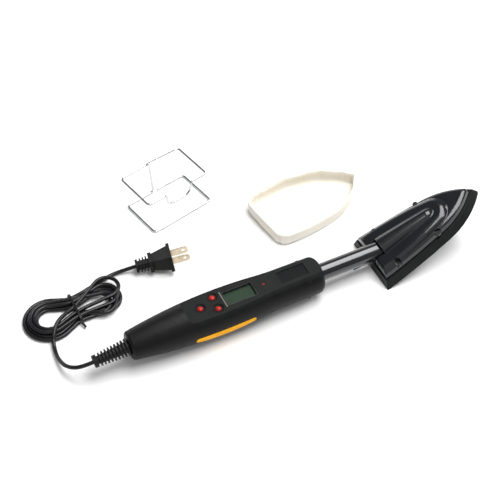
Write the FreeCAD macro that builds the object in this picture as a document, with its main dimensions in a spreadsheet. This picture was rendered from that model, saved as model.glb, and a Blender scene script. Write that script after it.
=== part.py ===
import FreeCAD, Part
import math
import os
import Sketcher
from FreeCAD import Placement, Rotation, Vector

# Heat-sealing iron with its mains cord, its bent-wire rest and its cotton sole cover.
# Millimetres, +Z up. The iron lies on a table along +X: the widest ring of the handle and the rear
# bottom edge of the sole touch z = 0. The origin is the middle of the footprint of the iron, the
# rest and the cotton cover, on the table.

doc = FreeCAD.newDocument("heat_sealing_iron")

# ---------------------------------------------------------------- driving dimensions

DIMENSIONS = {
    # place of the origin, measured from the middle of the handle's tail face
    "frame_x": 156.19,
    "frame_y": 76.6,
    # handle, a turned shape of two half shells
    "handle_length": 182.0,
    "handle_belly_at": 84.0,
    "handle_belly_rad": 19.7,
    "handle_sweep_rad": 500.0,
    "handle_tail_rad": 13.06,
    "handle_waist_at": 124.0,
    "handle_waist_rad": 18.08,
    "handle_grip_at": 146.0,
    "handle_grip_rad": 17.2,
    "handle_nose_rad": 16.9,
    "nose_round": 6.0,
    "tail_round": 3.0,
    "wall": 2.2,
    "tail_wall": 2.5,
    "nose_wall": 4.5,
    "tail_hole_rad": 5.5,
    # flat control fascia let into the top of the handle, heights from the handle axis
    "fascia_from": 52.0,
    "fascia_top": 14.0,
    "fascia_thick": 2.4,
    "window_from": 90.0,
    "window_length": 28.5,
    "window_width": 16.0,
    "label_from": 142.0,
    "label_length": 26.5,
    "label_width": 13.0,
    "label_deep": 1.0,
    "dish_rad": 5.1,
    "dish_deep": 1.1,
    "button_rad": 2.45,
    "button_gap": 0.3,
    "button_rise": 0.45,
    "button_travel": 0.8,
    "power_button_at": 67.0,
    "pair_button_at": 81.0,
    "pair_button_side": 6.6,
    "led_at": 127.0,
    "led_pitch": 6.0,
    "led_rad": 1.3,
    # circuit board below the fascia
    "board_top": 8.3,
    "board_thick": 1.6,
    # yellow side inlays, below the parting plane
    "inlay_from": 54.0,
    "inlay_to": 111.6,
    "inlay_top": 0.8,
    "inlay_drop": 10.4,
    "inlay_end_drop": 6.0,
    "inlay_proud": 0.3,
    # shank
    "tube_rad": 8.0,
    "tube_wall": 0.8,
    "tube_from": 150.0,
    "tube_to": 244.0,
    # shoe, in its own frame: +X forward along the sole, +Z away from it
    "shoe_at": 236.8,
    "shoe_pitch": 24.5,
    "sole_half": 31.0,
    "sole_flank": 8.0,
    "flank_slope": 24.0,
    "cover_step": 1.4,
    "plate_top": 15.5,
    "plate_slope": 16.0,
    "dome_top": 19.2,
    "dome_slope": 28.0,
    "cavity_deep": 4.5,
    "screw_rear_at": 21.5,
    "screw_rear_side": 22.0,
    "screw_front_at": 66.0,
    "screw_front_side": 19.6,
    # cord and plug
    "cord_dia": 3.6,
    "relief_length": 32.0,
    "relief_droop": 5.0,
    "relief_ribs": 9.0,
    "plug_length": 33.5,
    "blade_length": 16.0,
    "blade_width": 6.35,
    "blade_thick": 1.5,
    "blade_pitch": 12.7,
    "blade_hole_rad": 1.6,
    # wire rest
    "wire_dia": 2.2,
    "rest_half_x": 33.0,
    "rest_half_y": 22.0,
    "rest_top": 39.5,
    "cradle_deep": 13.5,
    # cotton cover
    "sock_height": 13.0,
    "sock_wall": 1.4,
}

sheet = doc.addObject("Spreadsheet::Sheet", "dims")
for row, (alias, size) in enumerate(DIMENSIONS.items(), start=1):
    sheet.set(f"A{row}", alias)
    sheet.set(f"B{row}", str(size))
    sheet.setAlias(f"B{row}", alias)
doc.recompute()


class Size:
    """A length that knows its number and the sheet expression that it comes from."""

    def __init__(self, number, text):
        self.number = float(number)
        self.text = text

    def __add__(self, other):
        other = as_size(other)
        return Size(self.number + other.number, f"({self.text} + {other.text})")

    def __sub__(self, other):
        other = as_size(other)
        return Size(self.number - other.number, f"({self.text} - {other.text})")

    def __mul__(self, factor):
        return Size(self.number * factor, f"({self.text} * {factor})")

    def __neg__(self):
        return self * -1.0

    def __radd__(self, other):
        return as_size(other) + self

    def __rsub__(self, other):
        return as_size(other) - self


def as_size(value):
    if isinstance(value, Size):
        return value
    return Size(value, repr(float(value)))


def dim(alias):
    return Size(DIMENSIONS[alias], f"<<dims>>.{alias}")


def bind(item, prop, size):
    """Set a property to a size, by expression when it comes from the sheet."""
    size = as_size(size)
    item.setExpression(prop, size.text)


# ---------------------------------------------------------------- bodies, sketches and features

AXIS_HEIGHT = dim("handle_belly_rad")
parts = []


def placed(item, shift_x=0.0, shift_y=0.0, shift_z=0.0):
    """Put an object in the station's frame by expressions on its placement."""
    bind(item, "Placement.Base.x", as_size(shift_x) - dim("frame_x"))
    bind(item, "Placement.Base.y", as_size(shift_y) - dim("frame_y"))
    bind(item, "Placement.Base.z", as_size(shift_z))
    return item


def on_handle(item):
    """The handle's frame: +X forward along its axis from the tail face."""
    return placed(item, shift_z=AXIS_HEIGHT)


def on_shoe(item):
    """The shoe's frame: at the middle of the sole's rear bottom edge, nose up."""
    item.Placement = Placement(Vector(), Rotation(Vector(0, 1, 0), -DIMENSIONS["shoe_pitch"]))
    bind(item, "Placement.Rotation.Angle", -dim("shoe_pitch"))
    return placed(item, shift_x=dim("shoe_at"))


def new_body(label):
    body = doc.addObject("PartDesign::Body", label)
    body.Label = label
    parts.append(body)
    return body


def base_plane(body, role):
    return next(item for item in body.Origin.OriginFeatures if item.Role == role)


def new_sketch(body, role, offset=None):
    sketch = body.newObject("Sketcher::SketchObject", f"{body.Label}_sketch")
    sketch.AttachmentSupport = [(base_plane(body, role), "")]
    sketch.MapMode = "FlatFace"
    if offset is not None:
        bind(sketch, "AttachmentOffset.Base.z", offset)
    return sketch


def pin(sketch, geometry, point, across, along):
    """Fix a sketch point at two sizes from the sketch origin."""
    for kind, size, axis in (("DistanceX", across, -2), ("DistanceY", along, -1)):
        size = as_size(size)
        if size.number == 0.0:
            sketch.addConstraint(Sketcher.Constraint("PointOnObject", geometry, point, axis))
            continue
        index = sketch.addConstraint(
            Sketcher.Constraint(kind, -1, 1, geometry, point, size.number))
        sketch.setExpression(f"Constraints[{index}]", size.text)


def arc_between(start, end, radius):
    """Arc from start to end; a positive radius bulges to the right of the way there."""
    chord = end - start
    middle = (start + end) * 0.5
    right = Vector(chord.y, -chord.x, 0).normalize()
    size = abs(radius)
    sag = size - math.sqrt(size * size - chord.Length ** 2 / 4.0)
    top = middle + right * math.copysign(sag, radius)
    return Part.Arc(start, top, end)


def outline(sketch, corners, radii=None):
    """Closed outline of straight sides; radii gives the side after a corner as an arc."""
    radii = radii or {}
    points = [Vector(as_size(a).number, as_size(b).number, 0) for a, b in corners]
    count = len(points)
    first = sketch.GeometryCount
    for index in range(count):
        start = points[index]
        end = points[(index + 1) % count]
        if index in radii:
            sketch.addGeometry(arc_between(start, end, as_size(radii[index]).number), False)
        else:
            sketch.addGeometry(Part.LineSegment(start, end), False)
    for index, (across, along) in enumerate(corners):
        geometry = first + index
        following = first + (index + 1) % count
        # an arc runs counter-clockwise in a sketch, so its first point may be its far end
        here = start_point(sketch, geometry, points[index])
        there = 3 - here
        ahead = start_point(sketch, following, points[(index + 1) % count])
        pin(sketch, geometry, here, across, along)
        sketch.addConstraint(
            Sketcher.Constraint("Coincident", geometry, there, following, ahead))
        if index in radii:
            size = as_size(radii[index])
            mark = sketch.addConstraint(
                Sketcher.Constraint("Radius", geometry, abs(size.number)))
            if size.text.startswith(("<", "(")):
                text = size.text if size.number > 0 else f"-({size.text})"
                sketch.setExpression(f"Constraints[{mark}]", text)
    return sketch


def start_point(sketch, geometry, place):
    near = (sketch.getPoint(geometry, 1) - place).Length < 1e-4
    return 1 if near else 2


def circles(sketch, rings):
    """Circles of given centre and radius."""
    for across, along, radius in rings:
        centre = Vector(as_size(across).number, as_size(along).number, 0)
        geometry = sketch.addGeometry(
            Part.Circle(centre, Vector(0, 0, 1), as_size(radius).number), False)
        pin(sketch, geometry, 3, across, along)
        size = as_size(radius)
        index = sketch.addConstraint(Sketcher.Constraint("Radius", geometry, size.number))
        sketch.setExpression(f"Constraints[{index}]", size.text)
    return sketch


def box_corners(x_from, x_to, y_from, y_to):
    return [(x_from, y_from), (x_to, y_from), (x_to, y_to), (x_from, y_to)]


def feature(body, kind, sketch, **settings):
    item = body.newObject(f"PartDesign::{kind}", f"{body.Label}_{kind.lower()}")
    item.Profile = sketch
    for name, value in settings.items():
        if isinstance(value, Size):
            bind(item, name, value)
        else:
            setattr(item, name, value)
    sketch.Visibility = False
    body.Tip = item
    return item


def pad(body, sketch, length, **settings):
    return feature(body, "Pad", sketch, Length=as_size(length), **settings)


def cut(body, sketch, length, upward=False, **settings):
    """Pocket that must remove material, down from its sketch or upward."""
    doc.recompute()
    before = body.Shape.Volume
    item = feature(body, "Pocket", sketch, Length=as_size(length), Reversed=upward, **settings)
    doc.recompute()
    if body.Shape.Volume >= before - 1e-3:
        raise RuntimeError(f"{body.Label}: {item.Name} removes nothing")
    return item


def turn(body, sketch, angle=360.0, kind="Revolution", **settings):
    """Revolve a sketch about its own horizontal axis."""
    item = feature(body, kind, sketch, Angle=as_size(angle), **settings)
    item.ReferenceAxis = (sketch, ["H_Axis"])
    return item


# ---------------------------------------------------------------- handle

WALL = dim("wall")


def handle_edge(inset=0.0):
    """Corners and arcs of the handle's outer line, tail to nose, moved in by inset."""
    corners = [
        (dim("tail_round"), dim("handle_tail_rad") - inset),
        (dim("handle_waist_at"), dim("handle_waist_rad") - inset),
        (dim("handle_grip_at"), dim("handle_grip_rad") - inset),
    ]
    sweep = dim("handle_sweep_rad") - inset
    return corners, [-sweep, 330.0]


def handle_solid_outline(sketch, side=1.0):
    """Half section of the solid handle, from the axis out."""
    corners, (sweep, waist) = handle_edge()
    nose = dim("handle_length") - dim("nose_round")
    line = [(0, 0), (0, dim("handle_tail_rad") - dim("tail_round"))] + corners
    line += [
        (nose, dim("handle_nose_rad")),
        (dim("handle_length"), dim("handle_nose_rad") - dim("nose_round")),
        (dim("handle_length"), 0),
    ]
    radii = {1: -dim("tail_round") * 1.02, 2: sweep, 3: waist, 5: -dim("nose_round")}
    return outline(sketch, line, radii)


def handle_shell_outline(sketch):
    """Section of the handle's wall, with the tail and nose bores left open."""
    corners, (sweep, waist) = handle_edge()
    inner, (inner_sweep, _) = handle_edge(WALL)
    length = dim("handle_length")
    nose = length - dim("nose_round")
    cavity_end = length - dim("nose_wall")
    line = [(0, dim("tail_hole_rad")), (0, dim("handle_tail_rad") - dim("tail_round"))] + corners
    line += [
        (nose, dim("handle_nose_rad")),
        (length, dim("handle_nose_rad") - dim("nose_round")),
        (length, dim("tube_rad")),
        (cavity_end, dim("tube_rad")),
        (cavity_end, dim("handle_nose_rad") - WALL - 0.7),
        inner[2],
        inner[1],
        (dim("tail_wall") + 0.5, dim("handle_tail_rad") - WALL),
        (dim("tail_wall") + 0.5, dim("tail_hole_rad")),
    ]
    radii = {
        1: -dim("tail_round") * 1.02,
        2: sweep,
        3: waist,
        5: -dim("nose_round"),
        10: -as_size(waist),
        11: -as_size(inner_sweep),
    }
    return outline(sketch, line, radii)


SCREW_PLACES = [(26.0, 8.0), (26.0, -8.0), (166.0, 11.0), (166.0, -11.0)]
BOSS_RAD = 2.6
SCREW_RAD = 1.1
SCREW_HEAD_RAD = 2.3
HEAD_LEVEL = -8.0
POST_TALL = 11.0
SCREW_HEAD_THICK = 1.8
SCREW_LONG = 15.0
SCREW_PLAY = 0.2


def boss_rings(radius):
    return [(across, along, radius) for across, along in SCREW_PLACES]


INLAY_END_RAD = 2.65
INLAY_BOW_RAD = 82.0
STRIP_RAD = 500.0
INLAY_TURN = 80.0
INLAY_START_DROP = 0.9
INLAY_END_DROP = 0.76
INLAY_TRIM = (20.0, 150.0, -30.0, 30.0)


def inlay_lens(sketch):
    """Lens seen from the side: straight just below the parting plane, bowed below, round ends."""
    start = dim("inlay_from") + INLAY_END_RAD
    end = dim("inlay_to") - INLAY_END_RAD
    middle = (start + end) * 0.5
    top = -dim("inlay_top")
    corners = [
        (start, top), (start, -dim("inlay_end_drop")), (middle, -dim("inlay_drop")),
        (end, -dim("inlay_end_drop")), (end, top),
    ]
    radii = {0: INLAY_END_RAD, 1: INLAY_BOW_RAD, 2: INLAY_BOW_RAD, 3: INLAY_END_RAD}
    return outline(sketch, corners, radii)


FASCIA_BLOCK = (-5.0, 200.0, -30.0, 30.0)
FASCIA_SURROUND = (-10.0, 210.0, -40.0, 40.0)
FASCIA_HALF = 14.0


def fascia_plan(x_to):
    """Plan outline round the fascia: its tail end has two round corners."""
    start = dim("fascia_from")
    half = FASCIA_HALF
    corner = 8.0
    wide = 24.0
    corners = [
        (start, -half + corner), (start + corner, -half), (start + corner + 3.0, -wide),
        (x_to, -wide), (x_to, wide), (start + corner + 3.0, wide), (start + corner, half),
        (start, half - corner),
    ]
    return corners, {0: corner, 6: corner}


def make_upper_shell():
    body = on_handle(new_body("handle_upper_shell"))
    turn(body, handle_shell_outline(new_sketch(body, "XY_Plane")), 180.0)
    seat = dim("fascia_top") - dim("fascia_thick")
    # closed end wall behind the fascia's tail end
    bulkhead = new_sketch(body, "YZ_Plane", dim("fascia_from") - 2.0)
    half = FASCIA_HALF
    outline(bulkhead, [(-half, seat - 1.5), (half, seat - 1.5)], {1: 17.3})
    pad(body, bulkhead, 2.0)
    opening = new_sketch(body, "XY_Plane", seat)
    corners, radii = fascia_plan(dim("handle_length") + 2.0)
    outline(opening, corners, radii)
    cut(body, opening, 12.0, upward=True)
    posts = circles(new_sketch(body, "XY_Plane"), boss_rings(BOSS_RAD))
    pad(body, posts, POST_TALL)
    holes = circles(new_sketch(body, "XY_Plane"), boss_rings(SCREW_RAD))
    cut(body, holes, 8.0, upward=True)


def make_lower_shell():
    body = on_handle(new_body("handle_lower_shell"))
    turn(body, handle_shell_outline(new_sketch(body, "XY_Plane")), 180.0, Reversed=True)
    posts = circles(new_sketch(body, "XY_Plane"), boss_rings(BOSS_RAD + SCREW_PLAY))
    pad(body, posts, POST_TALL, Reversed=True)
    shanks = circles(new_sketch(body, "XY_Plane"), boss_rings(SCREW_RAD + SCREW_PLAY))
    cut(body, shanks, 20.0)
    heads = circles(new_sketch(body, "XY_Plane", HEAD_LEVEL), boss_rings(SCREW_HEAD_RAD + SCREW_PLAY))
    cut(body, heads, 12.0)
    windows = inlay_lens(new_sketch(body, "XZ_Plane"))
    cut(body, windows, 60.0, Midplane=True)


def make_handle_screws():
    body = on_handle(new_body("handle_screws"))
    heads = circles(new_sketch(body, "XY_Plane", HEAD_LEVEL - SCREW_HEAD_THICK), boss_rings(SCREW_HEAD_RAD))
    pad(body, heads, SCREW_HEAD_THICK)
    shanks = circles(new_sketch(body, "XY_Plane", HEAD_LEVEL), boss_rings(SCREW_RAD))
    pad(body, shanks, SCREW_LONG)


def make_side_inlay(label, side):
    """Strip of the turned wall, trimmed to the lens; side is -1 near, +1 far."""
    body = on_handle(new_body(label))
    strip = new_sketch(body, "XY_Plane")
    start = dim("inlay_from")
    end = dim("inlay_to")
    proud = dim("inlay_proud")
    reach_start = dim("handle_belly_rad") - INLAY_START_DROP + proud
    reach_end = dim("handle_belly_rad") - INLAY_END_DROP + proud
    depth = WALL + proud
    corners = [
        (start, -(reach_start - depth)), (start, -reach_start),
        (end, -reach_end), (end, -(reach_end - depth)),
    ]
    radii = {1: STRIP_RAD, 3: -STRIP_RAD}
    if side > 0:
        corners = [(across, -as_size(along)) for across, along in corners]
        radii = {1: -STRIP_RAD, 3: STRIP_RAD}
    outline(strip, corners, radii)
    turn(body, strip, INLAY_TURN, Midplane=True)
    trim = new_sketch(body, "XZ_Plane")
    inlay_lens(trim)
    outline(trim, box_corners(*INLAY_TRIM))
    cut(body, trim, 80.0, Midplane=True)


def make_fascia():
    body = on_handle(new_body("control_fascia"))
    turn(body, handle_solid_outline(new_sketch(body, "XY_Plane")), 180.0)
    top = dim("fascia_top")
    under = new_sketch(body, "XY_Plane", top - dim("fascia_thick"))
    outline(under, box_corners(*FASCIA_BLOCK))
    cut(body, under, 14.0)
    over = new_sketch(body, "XY_Plane", top)
    outline(over, box_corners(*FASCIA_BLOCK))
    cut(body, over, 14.0, upward=True)
    behind = new_sketch(body, "XY_Plane", top)
    corners, radii = fascia_plan(205.0)
    outline(behind, corners, radii)
    outline(behind, box_corners(*FASCIA_SURROUND))
    cut(body, behind, 10.0)
    window = new_sketch(body, "XY_Plane", top)
    half = dim("window_width") * 0.5
    outline(window, box_corners(dim("window_from"), dim("window_from") + dim("window_length"),
                                -half, half))
    cut(body, window, 6.0)
    label = new_sketch(body, "XY_Plane", top)
    half = dim("label_width") * 0.5
    outline(label, box_corners(dim("label_from"), dim("label_from") + dim("label_length"),
                               -half, half))
    cut(body, label, dim("label_deep"))
    dishes = new_sketch(body, "XY_Plane", top)
    circles(dishes, [(across, along, dim("dish_rad")) for _, across, along in BUTTONS])
    cut(body, dishes, dim("dish_deep"), TaperAngle=-50.0)
    holes = new_sketch(body, "XY_Plane", top)
    rings = [(across, along, dim("button_rad") + dim("button_gap"))
             for _, across, along in BUTTONS]
    rings += [(across, 0.0, dim("led_rad")) for across in led_places()]
    circles(holes, rings)
    cut(body, holes, 6.0)


BUTTONS = [
    ("button_power", dim("power_button_at"), as_size(0.0)),
    ("button_up", dim("pair_button_at"), dim("pair_button_side")),
    ("button_down", dim("pair_button_at"), -dim("pair_button_side")),
]
SWITCH_TALL = 0.9
CROWN_FLAT = 0.3
CROWN_ARC = 3.3
FOOT_RAD = 1.5
FLANGE_RAD = 3.4


def led_places():
    return [dim("led_at"), dim("led_at") + dim("led_pitch")]


def make_button(label, across, along):
    """Turned button: domed cap, a flange under the fascia and a foot over its switch."""
    body = new_body(label)
    foot = dim("board_top") + SWITCH_TALL + dim("button_travel") + 0.2
    flange_low = dim("fascia_top") - dim("fascia_thick") - 1.0
    flange_top = dim("fascia_top") - dim("fascia_thick") - 0.2
    shoulder = dim("fascia_top") - dim("dish_deep") + 0.5
    crown = dim("fascia_top") + dim("button_rise")
    cap = dim("button_rad")
    section = new_sketch(body, "XZ_Plane")
    outline(section, [
        (0, foot), (FOOT_RAD, foot), (FOOT_RAD, flange_low), (FLANGE_RAD, flange_low),
        (FLANGE_RAD, flange_top),
        (cap, flange_top), (cap, shoulder), (CROWN_FLAT, crown), (0, crown),
    ], {6: CROWN_ARC})
    item = turn(body, section)
    item.ReferenceAxis = (section, ["V_Axis"])
    placed(body, across, along, AXIS_HEIGHT)


SWITCH_HALF = 3.0
GLASS_THICK = 2.4
GLASS_GAP = 0.3
FRAME_EDGE = 0.7
BAR_THICK = 0.35
LABEL_THICK = 0.25
BOARD_SPAN = (57.0, 138.0, -11.0, 11.0)
TRIAC_SPAN = (122.0, 126.5, -5.0, 5.0)
TRIAC_TALL = 14.0
CAPACITOR_SPAN = (92.0, 110.0, -4.5, 4.5)
CAPACITOR_TALL = 12.0
TERMINAL_SPAN = (34.0, 48.0, -6.0, 6.0)
TERMINAL_LOW = -6.0
TERMINAL_TALL = 9.0
CLAMP_SPAN = (12.0, 17.0, -8.0, 8.0)
CLAMP_LOW = 2.0
CLAMP_TALL = 2.5


def make_board_parts():
    board = on_handle(new_body("circuit_board"))
    low = dim("board_top") - dim("board_thick")
    plate = new_sketch(board, "XY_Plane", low)
    outline(plate, box_corners(*BOARD_SPAN))
    pad(board, plate, dim("board_thick"))

    switches = on_handle(new_body("tactile_switches"))
    squares = new_sketch(switches, "XY_Plane", dim("board_top"))
    for _, across, along in BUTTONS:
        outline(squares, box_corners(across - SWITCH_HALF, across + SWITCH_HALF,
                                     along - SWITCH_HALF, along + SWITCH_HALF))
    pad(switches, squares, SWITCH_TALL)

    display = on_handle(new_body("lcd_display"))
    start = dim("window_from") - 1.0
    glass = new_sketch(display, "XY_Plane", dim("board_top"))
    half = dim("window_width") * 0.5
    outline(glass, box_corners(start, start + dim("window_length") + 2.0, -half - 0.8, half + 0.8))
    pad(display, glass, GLASS_THICK)

    frame = on_handle(new_body("lcd_frame"))
    ring = new_sketch(frame, "XY_Plane", dim("board_top") + GLASS_THICK)
    inner = box_corners(dim("window_from") + FRAME_EDGE,
                        dim("window_from") + dim("window_length") - FRAME_EDGE,
                        -half + FRAME_EDGE, half - FRAME_EDGE)
    outer = box_corners(dim("window_from"), dim("window_from") + dim("window_length"),
                        -half, half)
    outline(ring, outer)
    outline(ring, inner)
    pad(frame, ring, dim("fascia_top") - dim("board_top") - GLASS_THICK - GLASS_GAP)

    bar = on_handle(new_body("window_bar"))
    strip = new_sketch(bar, "XY_Plane", dim("fascia_top"))
    outline(strip, box_corners(dim("window_from") - 2.0, dim("window_from") - 1.0,
                               -half - 0.9, half + 0.9))
    pad(bar, strip, BAR_THICK)

    for label, across in zip(("led_power", "led_heating"), led_places()):
        lamp = on_handle(new_body(label))
        lens = circles(new_sketch(lamp, "XY_Plane", dim("board_top")),
                       [(across, 0.0, dim("led_rad"))])
        pad(lamp, lens, dim("fascia_top") - dim("board_top") + 0.1)

    plate = on_handle(new_body("label_plate"))
    face = new_sketch(plate, "XY_Plane", dim("fascia_top") - dim("label_deep"))
    half = dim("label_width") * 0.5
    outline(face, box_corners(dim("label_from"), dim("label_from") + dim("label_length"),
                              -half, half))
    pad(plate, face, LABEL_THICK)

    triac = on_handle(new_body("power_triac"))
    block = new_sketch(triac, "XY_Plane", low)
    outline(block, box_corners(*TRIAC_SPAN))
    pad(triac, block, TRIAC_TALL, Reversed=True)

    capacitor = on_handle(new_body("dropper_capacitor"))
    block = new_sketch(capacitor, "XY_Plane", low)
    outline(block, box_corners(*CAPACITOR_SPAN))
    pad(capacitor, block, CAPACITOR_TALL, Reversed=True)

    terminals = on_handle(new_body("terminal_block"))
    block = new_sketch(terminals, "XY_Plane", TERMINAL_LOW)
    outline(block, box_corners(*TERMINAL_SPAN))
    pad(terminals, block, TERMINAL_TALL)

    clamp = on_handle(new_body("cord_clamp"))
    bar = new_sketch(clamp, "XY_Plane", CLAMP_LOW)
    outline(bar, box_corners(*CLAMP_SPAN))
    pad(clamp, bar, CLAMP_TALL)


# ---------------------------------------------------------------- shank

BUSH_LENGTH = 7.0
BUSH_RAD = 11.2
LEADS_FROM = 136.0
LEAD_RAD = 1.1
LEAD_SIDE = 2.6


def make_shank():
    tube = on_handle(new_body("shank_tube"))
    ring = new_sketch(tube, "YZ_Plane", dim("tube_from"))
    circles(ring, [(0, 0, dim("tube_rad")), (0, 0, dim("tube_rad") - dim("tube_wall"))])
    pad(tube, ring, dim("tube_to") - dim("tube_from"))

    bush = on_handle(new_body("nose_bush"))
    start = dim("handle_length") - dim("nose_wall") - BUSH_LENGTH
    ring = new_sketch(bush, "YZ_Plane", start)
    circles(ring, [(0, 0, BUSH_RAD), (0, 0, dim("tube_rad"))])
    pad(bush, ring, BUSH_LENGTH)

    leads = on_handle(new_body("heater_leads"))
    cores = new_sketch(leads, "YZ_Plane", as_size(LEADS_FROM))
    circles(cores, [(-LEAD_SIDE, 0, LEAD_RAD), (LEAD_SIDE, 0, LEAD_RAD)])
    pad(leads, cores, dim("tube_to") - LEADS_FROM)

    saddle = on_handle(new_body("shank_saddle"))
    wedge = new_sketch(saddle, "XZ_Plane")
    end = dim("tube_to") - 1.5
    heel = dim("shoe_at") + 0.6
    outline(wedge, [(dim("shoe_at") - 22.0, -6.6), (end, -2.0), (end, -8.1), (heel, -10.4)])
    pad(saddle, wedge, 13.0, Midplane=True)
    bore = new_sketch(saddle, "YZ_Plane", as_size(200.0))
    circles(bore, [(0, 0, dim("tube_rad"))])
    cut(saddle, bore, 80.0, upward=True)


# ---------------------------------------------------------------- shoe

def shoe_outline(sketch, inset=0.0, rear=0.0):
    """Boat-shaped outline: straight stern, two gentle flanks, curved bows and a blunt tip."""
    half = dim("sole_half") - inset
    shoulder = 25.2 - inset
    tip_side = 2.6 - inset * 0.2
    tip_at = 117.4 - inset * 1.3
    corners = [
        (rear, -half), (70.0 - inset * 0.3, -shoulder), (tip_at, -tip_side),
        (tip_at, tip_side), (70.0 - inset * 0.3, shoulder), (rear, half),
    ]
    return outline(sketch, corners, {0: 700.0, 1: 78.0 - inset, 2: 3.4, 3: 78.0 - inset, 4: 700.0})


def screw_rings(radius):
    places = [("screw_rear_at", "screw_rear_side"), ("screw_front_at", "screw_front_side")]
    return [(dim(at), dim(side) * sign, radius) for at, side in places for sign in (1.0, -1.0)]


def cavity_corners():
    """Heater space between the side rails, the same in the sole and in the cover."""
    return [(9.0, -15.5), (60.0, -13.0), (88.0, -4.0), (88.0, 4.0), (60.0, 13.0), (9.0, 15.5)]


SHOE_SCREW_RAD = 1.3
SHOE_HEAD_RAD = 2.6
PIT_RAD = 3.0
PIT_LEVEL = 11.0


def make_sole():
    body = on_shoe(new_body("shoe_sole"))
    pad(body, shoe_outline(new_sketch(body, "XY_Plane")), dim("sole_flank"),
        TaperAngle=-DIMENSIONS["flank_slope"])
    cavity = outline(new_sketch(body, "XY_Plane", dim("sole_flank")), cavity_corners())
    cut(body, cavity, dim("cavity_deep"))
    holes = circles(new_sketch(body, "XY_Plane", dim("sole_flank")), screw_rings(SHOE_SCREW_RAD))
    cut(body, holes, dim("cavity_deep"))


BARREL_FROM = 17.0
BARREL_TO = 74.0
BARREL_LEVEL = 15.4
BARREL_RAD = 10.4
BARREL_NOSE_RAD = 6.4
BARREL_WALL = 1.3
SLOT_HALF = 8.5


def make_cover():
    body = on_shoe(new_body("shoe_cover"))
    flank = dim("sole_flank")
    base_inset = 3.6 + DIMENSIONS["cover_step"]
    pad(body, shoe_outline(new_sketch(body, "XY_Plane", flank), base_inset, 4.6),
        dim("plate_top") - flank, TaperAngle=-DIMENSIONS["plate_slope"])
    dome = new_sketch(body, "XY_Plane", dim("plate_top") - 1.0)
    outline(dome, [(6.7, -18.5), (30.0, -18.0), (84.0, -6.0), (84.0, 6.0), (30.0, 18.0),
                   (6.7, 18.5)], {1: 120.0, 2: 7.0, 3: 120.0})
    pad(body, dome, dim("dome_top") - dim("plate_top") + 1.0,
        TaperAngle=-DIMENSIONS["dome_slope"])
    barrel = new_sketch(body, "XZ_Plane")
    outline(barrel, [
        (BARREL_FROM, BARREL_LEVEL), (BARREL_FROM, BARREL_LEVEL + BARREL_RAD),
        (BARREL_TO - 7.0, BARREL_LEVEL + BARREL_NOSE_RAD), (BARREL_TO, BARREL_LEVEL),
    ], {2: -7.2})
    turned = turn(body, barrel, 180.0, Midplane=True)
    turned.ReferenceAxis = axis_line(body, "XZ_Plane", BARREL_LEVEL)
    # heater space, and the barrel's own hollow, open at the stern for the shank
    cavity = outline(new_sketch(body, "XY_Plane", flank), cavity_corners())
    cut(body, cavity, 6.2, upward=True)
    bore = new_sketch(body, "XZ_Plane")
    outline(bore, [
        (BARREL_FROM - 1.0, BARREL_LEVEL), (BARREL_FROM - 1.0, BARREL_LEVEL + BARREL_RAD - BARREL_WALL),
        (BARREL_TO - 12.0, BARREL_LEVEL + 5.4), (BARREL_TO - 12.0, BARREL_LEVEL),
    ])
    hollow = turn(body, bore, kind="Groove")
    hollow.ReferenceAxis = axis_line(body, "XZ_Plane", BARREL_LEVEL)
    # slot that the shank and its saddle come in by
    slot = new_sketch(body, "XY_Plane", flank)
    outline(slot, box_corners(0.0, BARREL_FROM, -SLOT_HALF, SLOT_HALF))
    cut(body, slot, 16.0, upward=True)
    pits = circles(new_sketch(body, "XY_Plane", as_size(PIT_LEVEL)), screw_rings(PIT_RAD))
    cut(body, pits, 12.0, upward=True)
    holes = circles(new_sketch(body, "XY_Plane", flank), screw_rings(SHOE_SCREW_RAD))
    cut(body, holes, 4.0, upward=True)


def axis_line(body, role, level):
    """Construction line along +X at a level, to turn a shape about."""
    sketch = new_sketch(body, role)
    sketch.addGeometry(Part.LineSegment(Vector(0, level, 0), Vector(50, level, 0)), False)
    pin(sketch, 0, 1, 0, level)
    pin(sketch, 0, 2, 50, level)
    sketch.Visibility = False
    return (sketch, ["Edge1"])


def make_shoe_parts():
    screws = on_shoe(new_body("shoe_screws"))
    heads = circles(new_sketch(screws, "XY_Plane", as_size(PIT_LEVEL)), screw_rings(SHOE_HEAD_RAD))
    pad(screws, heads, 1.5)
    shanks = circles(new_sketch(screws, "XY_Plane", as_size(4.0)), screw_rings(SHOE_SCREW_RAD))
    pad(screws, shanks, 7.0)

    floor = dim("sole_flank") - dim("cavity_deep")
    heater = on_shoe(new_body("heater_element"))
    hairpin = new_sketch(heater, "XY_Plane", floor)
    outline(hairpin, [
        (22.0, -10.0), (62.0, -9.0), (62.0, 9.0), (22.0, 10.0), (22.0, 5.0), (60.0, 4.0),
        (60.0, -4.0), (22.0, -5.0),
    ], {1: 10.0, 5: -4.5})
    pad(heater, hairpin, 5.0)

    clamp = on_shoe(new_body("heater_clamp"))
    plate = outline(new_sketch(clamp, "XY_Plane", floor + 5.0), box_corners(34.0, 50.0, -11, 11))
    pad(clamp, plate, 1.2)

    sensor = on_shoe(new_body("temperature_sensor"))
    bead = circles(new_sketch(sensor, "YZ_Plane", as_size(26.0)), [(0, floor + 1.6, 1.6)])
    pad(sensor, bead, 10.0)

    fuse = on_shoe(new_body("thermal_fuse"))
    can = circles(new_sketch(fuse, "XZ_Plane", as_size(-5.0)), [(16.5, floor + 2.0, 2.0)])
    pad(fuse, can, 10.0)


# ---------------------------------------------------------------- cord

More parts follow.
